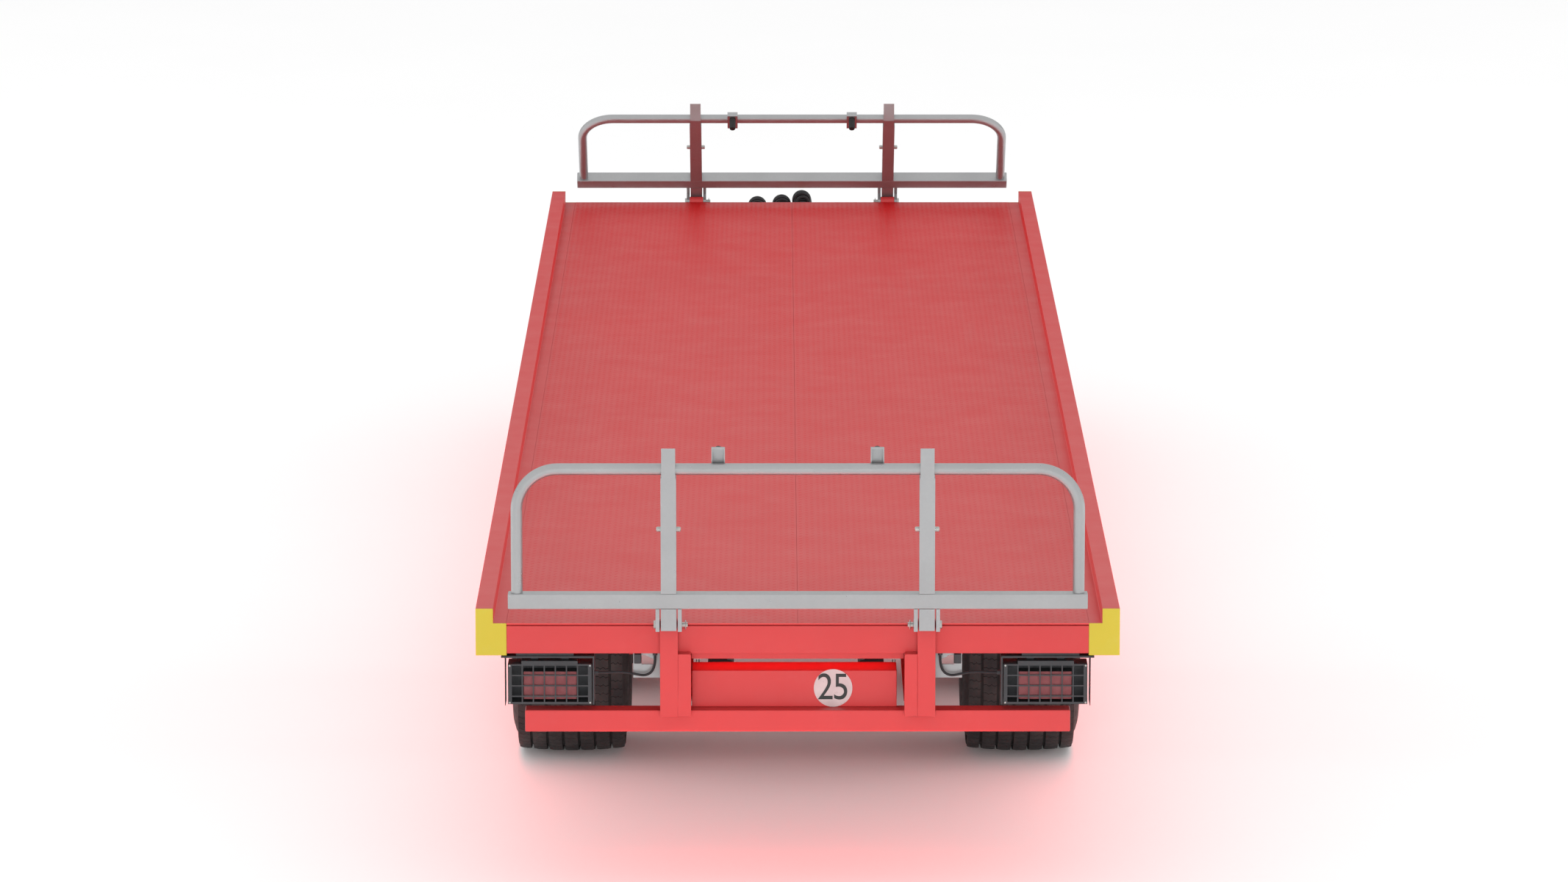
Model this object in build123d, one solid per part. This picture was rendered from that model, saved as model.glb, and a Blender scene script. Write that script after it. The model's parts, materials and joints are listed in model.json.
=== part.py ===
from build123d import *
import os
from math import cos, pi, radians, sin, tan

# Two-axle flatbed farm trailer with a folding load rack at each end.
# Everything is drawn in the bed's frame: X across, Y forward from the deck's rear end, Z up
# from the deck surface. save() moves each piece to the ground frame at the end.

# ---- driving dimensions, mm ----
width = 2500
deck_length = 10000
deck_height = 1150
rack_reach = 110
eye_reach = 1710
ground = -deck_height
bed = Pos(0, -(deck_length + eye_reach - rack_reach) / 2, deck_height)

# bed
rail_top_width = 68
rail_width = 120
rail_rise = 58
rail_drop = 128
rail_wall = 5
cap_thickness = 4
deck_thickness = 5
inner_half = width / 2 - rail_width
end_beam_depth = 60
end_beam_top = -10
end_beam_bottom = -120
cross_height = 80
cross_count = 16
beam_x = 473
beam_width = 120
beam_height = 240
beam_top = -deck_thickness - cross_height
beam_bottom = beam_top - beam_height

# rear end
post_x = 499
post_width = 70
post_depth = 50
rear_post_bottom = -361
front_post_bottom = -150
bumper_size = 85
bumper_half_length = 1060
bumper_top = -347
crossbar_height = 146
crossbar_depth = 150
crossbar_front = 58
disc_radius = 75

# rack, drawn upright behind the rear end; the pivot is at the deck surface
pivot_y = -25
bolt_radius = 10
running_clearance = 0.05
rack_y = -80
rack_tube = 60
rack_beam_length = 2240
rack_beam_low = 80
rack_beam_high = rack_beam_low + rack_tube
hoop_radius = 22.5
hoop_half_width = 1085
hoop_height = 626.5
hoop_corner = 160
front_rack_tilt = 43

# running gear
tyre_radius = 472.5
tyre_half_width = 247
axle_z = ground + tyre_radius
axle_size = 110
bogie_y = 3350
axle_spread = 1300
wheel_x = 950
spindle_radius = 35
shaft_radius = 40
rocker_width = 90
rocker_pivot_z = ground + 650

# drawbar
drawbar_z = -530
drawbar_start = deck_length - end_beam_depth + 20
head_rear = 11300
head_front = 11480
eye_y = 11650
eye_bore_radius = 25
eye_thickness = 36
shank_radius = 25


def block(x, y, z):
    """Box between a low and a high value on each axis."""
    sides = [high - low for low, high in (x, y, z)]
    middle = [(high + low) / 2 for low, high in (x, y, z)]
    return Pos(*middle) * Box(*sides)


def tube_block(x, y, z, wall):
    """Closed box with a hollow inside."""
    inner = [(low + wall, high - wall) for low, high in (x, y, z)]
    return block(x, y, z) - block(*inner)


def rod(start, end, radius):
    """Round bar between two points."""
    axis = Vector(*end) - Vector(*start)
    return Solid.make_cylinder(radius, axis.length, Plane(origin=start, z_dir=axis))


def hex_rod(start, end, across_corners_radius):
    """Six-sided bar between two points."""
    axis = Vector(*end) - Vector(*start)
    return extrude(Plane(origin=start, z_dir=axis) * RegularPolygon(across_corners_radius, 6), axis.length)


def side_plate(points, x_low, x_high):
    """Flat plate with an outline of (y, z) points, standing between two X values."""
    outline = Polyline([(x_low, y, z) for y, z in points], close=True)
    return extrude(make_face(outline), x_high - x_low, dir=(1, 0, 0))


def mirrored(shape):
    return mirror(shape, about=Plane.YZ)


def both_sides(*shapes):
    """Each piece and its mirror image across the trailer."""
    return [*shapes, *[mirrored(shape) for shape in shapes]]


def save(node, shapes):
    """Write one node, moved to the ground frame."""
    solids = [solid for shape in shapes for solid in (bed * shape).solids()]
    export_step(Compound(solids), f"parts/{node}.step")


# ---- bed ----
def main_beam(x):
    flange = 9.8
    web = 6.2
    y = (end_beam_depth, deck_length - end_beam_depth)
    x_range = (x - beam_width / 2, x + beam_width / 2)
    top = block(x_range, y, (beam_top - flange, beam_top))
    bottom = block(x_range, y, (beam_bottom, beam_bottom + flange))
    return top + bottom + block((x - web / 2, x + web / 2), y, (beam_bottom, beam_top))


def cross_member(y):
    """Channel across the bed, open to the rear."""
    wall = 5
    x = (-inner_half, inner_half)
    outer = block(x, (y, y + 45), (beam_top, -deck_thickness))
    return outer - block(x, (y, y + 45 - wall), (beam_top + wall, -deck_thickness - wall))


def cross_members():
    first = 300
    pitch = (deck_length - 2 * first) / (cross_count - 1)
    members = [cross_member(first + index * pitch) for index in range(cross_count)]
    tie_half = beam_x - beam_width / 2
    members.append(block((-tie_half, tie_half), (30, end_beam_depth), (end_beam_bottom - 28, end_beam_bottom)))
    return members


def rail_face(inset):
    """Stepped rail section: a kerb on the outside and a ledge level with the deck."""
    outer = width / 2 - inset
    step = width / 2 - rail_top_width + inset
    inner = inner_half + inset
    top = rail_rise - inset
    ledge = -inset
    bottom = -rail_drop + inset
    corners = [(outer, bottom), (outer, top), (step, top), (step, ledge), (inner, ledge), (inner, bottom)]
    return make_face(Polyline([(x, 0, z) for x, z in corners], close=True))


def side_rail():
    length = deck_length - 2 * cap_thickness
    hollow = extrude(rail_face(0), length, dir=(0, 1, 0)) - extrude(rail_face(rail_wall), length, dir=(0, 1, 0))
    return Pos(0, cap_thickness, 0) * hollow


def corner_caps():
    cap = extrude(rail_face(0), cap_thickness, dir=(0, 1, 0))
    return both_sides(cap, Pos(0, deck_length - cap_thickness, 0) * cap)


def deck_sheet():
    seam = 0.5
    return block((seam, inner_half), (0, deck_length), (-deck_thickness, 0))


def end_beam():
    """Channel under the deck's rear end, web outward, with a packing strip on top."""
    wall = 6
    x = (-inner_half, inner_half)
    outer = block(x, (0, end_beam_depth), (end_beam_bottom, end_beam_top))
    inner = block(x, (wall, end_beam_depth), (end_beam_bottom + wall, end_beam_top - wall))
    strip = block(x, (12, end_beam_depth), (end_beam_top, -deck_thickness))
    return outer - inner + strip


def rack_post(bottom):
    """Upright that carries a rack's pivot, with a round head centred on the pivot."""
    x = (post_x - post_width / 2, post_x + post_width / 2)
    wall = 5
    body = block(x, (-post_depth, 0), (bottom, 0))
    hollow = block((x[0] + wall, x[1] - wall), (-post_depth + wall, -wall), (bottom, -35))
    head = rod((x[0], pivot_y, 0), (x[1], pivot_y, 0), post_depth / 2)
    hole = rod((x[0], pivot_y, 0), (x[1], pivot_y, 0), bolt_radius + running_clearance)
    return body - hollow + head - hole


def bumper_support():
    """Hollow leg beside a rear post, from the end beam down over the bumper's face."""
    inner = post_x - post_width / 2
    size, wall, top = 50, 5, end_beam_bottom + 8
    shape = block((inner - size, inner), (-post_depth, 0), (rear_post_bottom, top))
    hollow = block((inner - size + wall, inner - wall), (wall - post_depth, -wall), (rear_post_bottom, top - 10))
    edge = shape.edges().filter_by(Axis.Y).group_by(Axis.Z)[-1].sort_by(Axis.X)[0]
    return fillet(edge, 8) - hollow


def rear_bumper():
    x = (-bumper_half_length, bumper_half_length)
    return tube_block(x, (0, bumper_size), (bumper_top - bumper_size, bumper_top), 5)


def tail_crossbar():
    y = (crossbar_front, crossbar_front + crossbar_depth)
    return tube_block((-412, 386), y, (bumper_top, bumper_top + crossbar_height), 5)


def speed_disc():
    thickness = 1.5
    z = bumper_top + 76
    return rod((138, crossbar_front - thickness, z), (138, crossbar_front, z), disc_radius)


def wiring_plate():
    """Flat plate with a window, hung from the end beam between a post and a tyre."""
    back, front = end_beam_depth, end_beam_depth + 6
    plate = block((post_x + post_width / 2, 640), (back, front), (-231, end_beam_bottom + 8))
    corners = [(560, -176), (607, -176), (607, -141), (590, -141), (560, -158)]
    window = make_face(Polyline([(x, back, z) for x, z in corners], close=True))
    return plate - extrude(window, front - back, dir=(0, 1, 0))


# ---- rear lamps, drawn on the right ----
lamp_inner = 800
lamp_outer = 1126
lamp_bottom = -324
lamp_shoulder = -165
lamp_top = -152
lamp_back = 110
lamp_front = 8
bracket_bottom = -138
bracket_top = -131
guard_rows = [-318, -292.5, -251, -209.5, -168]
cable_radius = 5
gland_radius = 9
# gland mouth to gland mouth: out of the lamp's bracket, a shallow dip, and up to the end beam
cable_route = [
    (776, 45, -206),
    (738, 45, -206),
    (700, 43, -203),
    (660, 41, -205),
    (622, 38, -213),
    (594, 35, -216),
    (568, 32, -203),
    (554, 30, -170),
    (554, 30, -133),
]


def lamp_outline():
    """Lamp front seen from behind: a rectangle with a raised middle part on top."""
    low, shoulder, high = lamp_bottom, lamp_shoulder, lamp_top
    left, right = lamp_inner, lamp_outer
    corners = [(left, low), (right, low), (right, shoulder), (right - 53, shoulder),
               (right - 53, high), (left + 55, high), (left + 55, shoulder), (left, shoulder)]
    return make_face(Polyline([(x, 0, z) for x, z in corners], close=True))


def lamp_bracket():
    """Inverted U of flat bar that shields the lamp, with two short hangers down to the housing."""
    top = block((790, 1152), (0, lamp_back), (bracket_bottom, bracket_top))
    spacer = block((870, 1094), (10, 50), (bracket_top, end_beam_bottom))
    outer = block((1135, 1138), (0, 90), (lamp_bottom - 4, bracket_bottom))
    inner = block((790, 796), (0, lamp_back), (lamp_bottom, bracket_bottom))
    hangers = [block((x, x + 30), (40, 80), (lamp_top, bracket_bottom)) for x in (890, 1008)]
    return top + spacer + outer + inner + hangers


def lamp_housing():
    wall = 4
    front = lamp_front + 6
    shell = Pos(0, front, 0) * extrude(lamp_outline(), lamp_back - front, dir=(0, 1, 0))
    cavity = block((lamp_inner + wall, lamp_outer - wall), (front, lamp_back - wall),
                   (lamp_bottom + wall, lamp_shoulder - wall))
    return shell - cavity


def lamp_guard():
    """Grid of seven by four windows over the lamp, the bottom row a short one."""
    columns, pitch, bar, thickness = 7, 43, 5, 6
    plate = Pos(0, lamp_front, 0) * extrude(lamp_outline(), thickness, dir=(0, 1, 0))
    left = (lamp_inner + lamp_outer - columns * pitch) / 2
    for column in range(columns):
        x = left + column * pitch
        for low, high in zip(guard_rows, guard_rows[1:]):
            plate -= block((x + bar / 2, x + pitch - bar / 2), (lamp_front, lamp_front + thickness),
                           (low + bar / 2, high - bar / 2))
    return plate


def lamp_unit():
    unit = block((859, 1067), (40, lamp_back - 4), (-312.5, -201.5))
    return fillet(unit.edges().filter_by(Axis.Y), 12)


def cable_glands():
    at_lamp = rod((790, 45, -206), cable_route[0], gland_radius)
    at_beam = rod((554, 30, end_beam_bottom), cable_route[-1], gland_radius)
    return both_sides(at_lamp, at_beam)


def route_radii(points):
    """Largest bend each corner leaves room for: 0.45 of the shorter run over the half turn's tangent."""
    corners = [Vector(*point) for point in points]
    radii = []
    for before, here, after in zip(corners, corners[1:], corners[2:]):
        arriving, leaving = here - before, after - here
        half_turn = radians(arriving.get_angle(leaving) / 2)
        radii.append(0.45 * min(arriving.length, leaving.length) / tan(half_turn))
    return radii


def bent_tube(name, points, radius):
    """Round tube along straight runs joined by tangent arcs."""
    radii = route_radii(points)
    path = FilletPolyline(*points, radius=radii)
    tube = sweep(Plane(origin=path @ 0, z_dir=path % 0) * Circle(radius), path=path)
    expected = path.length * pi * radius**2
    print(name, "length", round(path.length, 1), "volume ratio", round(tube.volume / expected, 5),
          "radii", [round(value) for value in radii])
    return tube


# ---- rack ----
def rack_beam():
    half = rack_beam_length / 2
    y = (rack_y - rack_tube / 2, rack_y + rack_tube / 2)
    return tube_block((-half, half), y, (rack_beam_low, rack_beam_high), 4)


def rack_hoop():
    corners = [(-hoop_half_width, rack_y, rack_beam_high), (-hoop_half_width, rack_y, hoop_height),
               (hoop_half_width, rack_y, hoop_height), (hoop_half_width, rack_y, rack_beam_high)]
    path = FilletPolyline(*corners, radius=hoop_corner)
    start = Plane(origin=path @ 0, z_dir=path % 0)
    return sweep(start * Circle(hoop_radius), path=path) - sweep(start * Circle(hoop_radius - 3), path=path)


def rack_upright():
    """Square post on the beam with a narrower slanted top, let over the hoop, and the stop leg below."""
    outer, inner = rack_y - rack_tube / 2, rack_y + rack_tube / 2
    half, slim_half = rack_tube / 2, 27
    slim_from = hoop_height - 30
    upper = side_plate([(outer, slim_from), (inner, slim_from), (inner, hoop_height + 21),
                        (outer, hoop_height + 87)], post_x - slim_half, post_x + slim_half)
    lower = block((post_x - half, post_x + half), (outer, inner), (rack_beam_high, slim_from))
    hollow = block((post_x - half + 4, post_x + half - 4), (outer + 4, inner - 4), (rack_beam_high, slim_from - 4))
    hoop_hole = rod((post_x - half, rack_y, hoop_height), (post_x + half, rack_y, hoop_height), hoop_radius)
    return lower + upper - hollow - hoop_hole - rod(*pin_line(), bolt_radius)


def stop_leg():
    """Short leg under the rack's beam that leans on the post's outer face when the rack is upright."""
    x = (post_x - rack_tube / 2, post_x + rack_tube / 2)
    y = (rack_y - rack_tube / 2, -post_depth - 0.5)
    return block(x, y, (-6, rack_beam_low)) - block((x[0] + 4, x[1] - 4), (y[0] + 4, y[1] - 4), (-6, 70))


lug_gap_half = post_width / 2 + 0.5
lug_thickness = 15
pin_half_length = 47.5
linch_radius = 2.5


def lug_plate(x_low):
    """L-shaped cheek from the beam to the pivot, beside the post."""
    lobe = 20
    x_high = x_low + lug_thickness
    outer = rack_y - rack_tube / 2
    plate = side_plate([(pivot_y, -lobe), (pivot_y, lobe), (-62, lobe), (-62, rack_beam_low),
                        (outer, rack_beam_low), (outer, -9)], x_low, x_high)
    boss = rod((x_low, pivot_y, 0), (x_high, pivot_y, 0), lobe)
    return plate + boss - rod((x_low, pivot_y, 0), (x_high, pivot_y, 0), bolt_radius)


def lug_plates():
    outer, inner = post_x + lug_gap_half, post_x - lug_gap_half - lug_thickness
    return both_sides(lug_plate(outer), lug_plate(inner), stop_leg())


def pin_line():
    z = rack_beam_high + 250
    return (post_x - pin_half_length, rack_y, z), (post_x + pin_half_length, rack_y, z)


def rack_pin():
    pin = rod(*pin_line(), bolt_radius)
    return fillet(pin.edges().filter_by(GeomType.CIRCLE), 5)


def pivot_bolt():
    """Bolt through the lugs and the post; its head is outward and its linch pin toward the middle."""
    outer = post_x + lug_gap_half + lug_thickness
    end = post_x - lug_gap_half - lug_thickness - 22
    bolt = rod((end, pivot_y, 0), (outer, pivot_y, 0), bolt_radius)
    head = hex_rod((outer, pivot_y, 0), (outer + 9, pivot_y, 0), 17)
    linch_x = end + 8
    linch = rod((linch_x, pivot_y, -17), (linch_x, pivot_y, 17), linch_radius)
    ring = Pos(linch_x, pivot_y, 0) * Rot(0, 90, 0) * Torus(17, 1.6)
    return [bolt + head - linch, linch + ring]


def rack_fasteners():
    return both_sides(rack_pin(), *pivot_bolt())


buffer_x = 307
buffer_z = hoop_height + 55.5
bracket_inner = -35


def buffer_bracket():
    """Channel on the hoop's top tube, open outward, that holds a rubber buffer."""
    half, wall = 26, 4
    y = (-62, bracket_inner)
    z = (hoop_height - 22.5, hoop_height + 78.5)
    outer = block((buffer_x - half, buffer_x + half), y, z)
    cavity = block((buffer_x - half + wall, buffer_x + half - wall), (-62, bracket_inner - wall),
                   (z[0], z[1] - wall))
    tube = rod((buffer_x - half, rack_y, hoop_height), (buffer_x + half, rack_y, hoop_height), hoop_radius)
    return outer - cavity - tube


def rubber_buffer():
    buffer = rod((buffer_x, bracket_inner, buffer_z), (buffer_x, 32, buffer_z), 16)
    return fillet(buffer.edges().filter_by(GeomType.CIRCLE).sort_by(Axis.Y)[-1], 4)


def rack_nodes():
    """Pieces of one upright rack; identical or welded-on pieces share a node as separate solids."""
    return {
        "beam": [rack_beam()],
        "hoop": [rack_hoop(), *both_sides(buffer_bracket())],
        "posts": [*both_sides(rack_upright()), *lug_plates()],
        "fasteners": rack_fasteners(),
        "buffers": both_sides(rubber_buffer()),
    }


def at_front(shape):
    """The same rack turned to face the front end, and tipped inward over the deck."""
    turned = Pos(0, deck_length, 0) * mirror(shape, about=Plane.XZ)
    pivot = Axis((0, deck_length - pivot_y, 0), (1, 0, 0))
    return turned.rotate(pivot, front_rack_tilt)


# ---- running gear ----
def hanger():
    """Pair of cheeks under a main beam that hold the bogie's pivot shaft."""
    gap_half, thickness = rocker_width / 2 + 2, 15
    points = [(bogie_y - 250, beam_bottom), (bogie_y + 250, beam_bottom),
              (bogie_y + 80, rocker_pivot_z - 20), (bogie_y - 80, rocker_pivot_z - 20)]
    cheeks = []
    for x_low in (beam_x - gap_half - thickness, beam_x + gap_half):
        cheek = side_plate(points, x_low, x_low + thickness)
        boss = rod((x_low, bogie_y, rocker_pivot_z), (x_low + thickness, bogie_y, rocker_pivot_z), 85)
        hole = rod((x_low, bogie_y, rocker_pivot_z), (x_low + thickness, bogie_y, rocker_pivot_z), shaft_radius)
        cheeks.append(cheek + boss - hole)
    return cheeks


def pivot_shaft():
    reach = beam_x + rocker_width / 2 + 30
    return rod((-reach, bogie_y, rocker_pivot_z), (reach, bogie_y, rocker_pivot_z), shaft_radius)


def rocker():
    """Hollow walking beam that joins the two axles on one side."""
    half = axle_spread / 2
    low = axle_z + axle_size / 2
    tip = half + 90

    def outline(inset):
        right = [(tip - inset, low + inset), (tip - inset, low + 80 - inset), (half - 100, low + 80 - inset),
                 (200, rocker_pivot_z + 85 - inset)]
        left = [(-y, z) for y, z in reversed(right)]
        return [(bogie_y + y, z) for y, z in right + left]

    wall = 10
    outer = side_plate(outline(0), beam_x - rocker_width / 2, beam_x + rocker_width / 2)
    inner = side_plate(outline(wall), beam_x - rocker_width / 2 + wall, beam_x + rocker_width / 2 - wall)
    line = ((beam_x - rocker_width / 2, bogie_y, rocker_pivot_z), (beam_x + rocker_width / 2, bogie_y, rocker_pivot_z))
    return outer - inner + rod(*line, 60) - rod(*line, shaft_radius + running_clearance)


def axle(y):
    """Square beam with a round spindle at each end and a brake backing plate near it."""
    reach = wheel_x - 110
    half = axle_size / 2
    beam = block((-reach, reach), (y - half, y + half), (axle_z - half, axle_z + half))
    spindle = rod((-wheel_x - 62, y, axle_z), (wheel_x + 62, y, axle_z), spindle_radius)
    plates = [rod((side * (reach - 10), y, axle_z), (side * reach, y, axle_z), 160) for side in (-1, 1)]
    return beam + spindle + plates[0] + plates[1]


def axle_clamp(y):
    """Plates above the rocker and below the axle, drawn together by four bolts."""
    half_x, half_y, low = 72, 82, axle_z - axle_size / 2
    top = axle_z + axle_size / 2 + 80
    plates = [block((beam_x - half_x, beam_x + half_x), (y - half_y, y + half_y), z)
              for z in ((low - 15, low), (top, top + 15))]
    bolts = []
    for x in (beam_x - 57, beam_x + 57):
        for bolt_y in (y - 67, y + 67):
            bolts.append(rod((x, bolt_y, low - 40), (x, bolt_y, top + 40), 8))
    drilled = []
    for plate in plates:
        for bolt in bolts:
            plate = plate - bolt
        drilled.append(plate)
    return [*drilled, *bolts]


def brake_gear(y, away):
    """Diaphragm chamber, its bracket, the lever and the cam shaft of one brake."""
    cam_y = y + away * 100
    chamber_y = y + away * 190
    cam = rod((330, cam_y, axle_z), (wheel_x - 120, cam_y, axle_z), 15)
    lever = block((330, 350), (cam_y - 18, cam_y + 18), (axle_z - 140, axle_z + 20))
    bracket_y = sorted((y + away * axle_size / 2, chamber_y + away * 40))
    bracket = block((250, 262), bracket_y, (axle_z - 30, axle_z + 45))
    chamber = rod((262, chamber_y, axle_z - 100), (372, chamber_y, axle_z - 100), 70)
    chamber = fillet(chamber.edges().filter_by(GeomType.CIRCLE), 18)
    strap = block((262, 290), (chamber_y - 35, chamber_y + 35), (axle_z - 45, axle_z - 20))
    return [cam + lever - chamber, bracket + strap - chamber, chamber]


def tyre(side, y):
    """Wide low tyre with six grooves round its tread."""
    crown, shoulder = tyre_radius, tyre_radius - 14
    right = [(0, crown), (120, crown - 4), (221, shoulder), (241, 394), (tyre_half_width, 340),
             (240, 280), (206, 240), (193.5, 238), (189, 216.3), (150, 216.3), (150, 232), (205, 270),
             (212, 340), (200, 420), (0, 440)]
    left = [(-x, r) for x, r in reversed(right[1:-1])]
    section = make_face(Polyline([(x, 0, r) for x, r in right + left], close=True))
    body = revolve(section, Axis.X)
    for groove in range(-5, 6, 2):
        x = groove * 67 / 2
        ring = rod((x - 5.5, 0, 0), (x + 5.5, 0, 0), crown + 5) - rod((x - 5.5, 0, 0), (x + 5.5, 0, 0), crown - 20)
        body -= ring
    return Pos(side * wheel_x, y, axle_z) * body


def wheel_rim(side, y):
    """Drop-centre rim with a bolted disc."""
    wall = 8
    outer = [(-203, 236), (-195, 236), (-190, 216), (-150, 216), (-110, 190), (110, 190),
             (150, 216), (190, 216), (195, 236), (203, 236)]
    inner = [(203, 230), (198, 208), (150, 208), (110, 190 - wall), (-110, 190 - wall), (-150, 208), (-198, 208),
             (-203, 230)]
    rim = revolve(make_face(Polyline([(x, 0, r) for x, r in outer + inner], close=True)), Axis.X)
    disc = rod((40, 0, 0), (52, 0, 0), 182) - rod((40, 0, 0), (52, 0, 0), 110.5)
    for stud in studs():
        disc -= rod((40, *stud), (52, *stud), 10.5)
    whole = rim + disc
    return Pos(side * wheel_x, y, axle_z) * (whole if side > 0 else mirrored(whole))


def studs():
    """Centres of the wheel studs about the hub's axis."""
    count, ring = 8, 137.5
    angles = [radians(index * 360 / count + 22.5) for index in range(count)]
    return [(ring * cos(angle), ring * sin(angle)) for angle in angles]


def wheel_hub(side, y):
    """Hub with its brake drum, studs with nuts, and a grease cap."""
    flange = rod((28, 0, 0), (40, 0, 0), 165)
    barrel = rod((-60, 0, 0), (64, 0, 0), 75)
    spigot = rod((40, 0, 0), (54, 0, 0), 110)
    drum = rod((-88, 0, 0), (28, 0, 0), 165) - rod((-88, 0, 0), (18, 0, 0), 150)
    cap = rod((64, 0, 0), (92, 0, 0), 58)
    cap = fillet(cap.edges().filter_by(GeomType.CIRCLE).sort_by(Axis.X)[-1], 14)
    hub = flange + barrel + spigot + drum + cap
    hub -= rod((-60, 0, 0), (66, 0, 0), spindle_radius + running_clearance)
    pieces = [hub]
    for stud in studs():
        pieces.append(rod((40, *stud), (78, *stud), 10) + hex_rod((52, *stud), (70, *stud), 17))
    place = Pos(side * wheel_x, y, axle_z)
    return [place * (piece if side > 0 else mirrored(piece)) for piece in pieces]


# ---- drawbar ----
def drawbar_bar(hollow):
    """Right-hand arm of the A-frame, from the beam's end down to the head."""
    start, end = Vector(beam_x, drawbar_start, -225), Vector(95, head_rear, drawbar_z)
    along = end - start
    reach = along.length + 120
    origin = start - along.normalized() * 60
    plane = Plane(origin=origin, x_dir=(along.Y, -along.X, 0), z_dir=along)
    bar = extrude(plane * Rectangle(80, 120), reach)
    if hollow:
        bar -= extrude(plane * Rectangle(64, 104), reach)
    bar -= block((0, 1000), (drawbar_start - 300, drawbar_start), (-900, 200))
    return bar - block((0, 1000), (head_rear, head_rear + 300), (-900, 200))


def drawbar_mount():
    """Plate on the end of a main beam that an arm is welded to."""
    return block((beam_x - 70, beam_x + 70), (drawbar_start - 20, drawbar_start), (beam_bottom, end_beam_bottom))


def drawbar_crossbar():
    bar = tube_block((-260, 260), (10700, 10780), (-442, -362), 6)
    return bar - drawbar_bar(False) - mirrored(drawbar_bar(False))


def drawbar_head():
    body = block((-140, 140), (head_rear, head_front), (drawbar_z - 62, drawbar_z + 62))
    body = fillet(body.edges().filter_by(Axis.Z).group_by(Axis.Y)[-1], 30)
    return body - rod((0, head_rear, drawbar_z), (0, head_front, drawbar_z), shank_radius + running_clearance)


def towing_eye():
    ring_radius = 60
    ring = rod((0, eye_y, drawbar_z - eye_thickness / 2), (0, eye_y, drawbar_z + eye_thickness / 2), ring_radius)
    shank = rod((0, head_rear - 40, drawbar_z), (0, eye_y - 30, drawbar_z), shank_radius)
    collar = rod((0, head_front + 2, drawbar_z), (0, head_front + 22, drawbar_z), 42)
    bore = rod((0, eye_y, drawbar_z - 60), (0, eye_y, drawbar_z + 60), eye_bore_radius)
    return fillet(ring.edges().filter_by(GeomType.CIRCLE), 8) + shank + collar - bore


def eye_nut():
    start = (0, head_rear - 34, drawbar_z)
    end = (0, head_rear - 2, drawbar_z)
    return hex_rod(start, end, 44) - rod(start, end, shank_radius)


# ---- hoses ahead of the bed; lengths along Y count from the deck's front end ----
coil_radius = 50
fitting_length = 50
hose_end_run = (0, 80, -143)
holder_reach = 655
# centre line of each curly hose: out of the front beam, level, then down to the holder
hose_routes = {
    "red": [(-182, 50, -66), (-182, 95, -66), (-182, 212, -44), (-178, 376, -94), (-176, 508, -216),
            (-176, 588, -359)],
    "yellow": [(-54, 50, -53), (-54, 95, -53), (-54, 212, -35), (-53, 377, -86), (-52, 508, -207),
               (-52, 588, -350)],
    "light": [(50, 50, -33), (50, 95, -33), (50, 212, -11), (58, 378, -66), (64, 512, -192), (64, 592, -335)],
}


def hose_points(name):
    return [(x, deck_length + y, z) for x, y, z in hose_routes[name]]


def hose_direction():
    return Vector(*hose_end_run).normalized()


def coupling_length(name):
    """Distance from the hose's end to the holder's face, along the hose's last run."""
    end = Vector(*hose_routes[name][-1])
    return holder_reach - end.dot(hose_direction())


def hose_fittings():
    """Bulkhead fitting behind each curly hose."""
    fittings = []
    for name in hose_routes:
        x, y, z = hose_points(name)[0]
        hexagon = hex_rod((x, deck_length, z), (x, deck_length + 18, z), 24)
        fittings.append(hexagon + rod((x, deck_length, z), (x, y, z), 15))
    return fittings


def coupling_heads():
    """Head at the lower end of each curly hose, parked in the holder."""
    heads = []
    for name in hose_routes:
        start = Vector(*hose_points(name)[-1])
        length = coupling_length(name)
        neck = rod(start, start + hose_direction() * length, 16)
        body = rod(start + hose_direction() * 18, start + hose_direction() * (length - 6), 30)
        heads.append(neck + body)
    return heads


def hose_holder():
    """Slanted plate that the coupling heads are parked on, with an arm to the drawbar's crossbar."""
    plane = Plane(origin=(-55, deck_length + 615, -406), x_dir=(1, 0, 0), z_dir=hose_direction())
    face_gap = holder_reach - (615 * hose_direction().Y - 406 * hose_direction().Z)
    plate = extrude(plane.offset(face_gap) * Rectangle(340, 110), 8)
    arm = block((-130, 20), (deck_length + 640, deck_length + 700), (-400, -390))
    return plate + (arm - coupling_heads()[1])


# ---- parking leg on the left arm ----
leg_x = -300
leg_y = 10950


def leg_square(half, low, high):
    return block((leg_x - half, leg_x + half), (leg_y - half, leg_y + half), (low, high))


def leg_sleeve():
    """Square sleeve welded to the arm through a short bracket."""
    bracket = block((leg_x + 40, -150), (leg_y - 30, leg_y + 30), (-500, -400))
    sleeve = leg_square(40, -560, -180) - leg_square(35, -560, -180)
    return sleeve + (bracket - mirrored(drawbar_bar(False)))


def leg_plunger():
    """Spring plunger knob on the sleeve's outer face."""
    face = leg_x - 40
    return rod((face, leg_y, -300), (face - 30, leg_y, -300), 14) + rod((face - 30, leg_y, -300),
                                                                       (face - 44, leg_y, -300), 22)


def parking_leg():
    """Sliding square leg on its foot plate."""
    tube = leg_square(34.5, ground + 12, ground + 800) - leg_square(29.5, ground + 12, ground + 790)
    foot = fillet(leg_square(110, ground, ground + 12).edges().filter_by(Axis.Z), 20)
    return [tube, foot]


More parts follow.
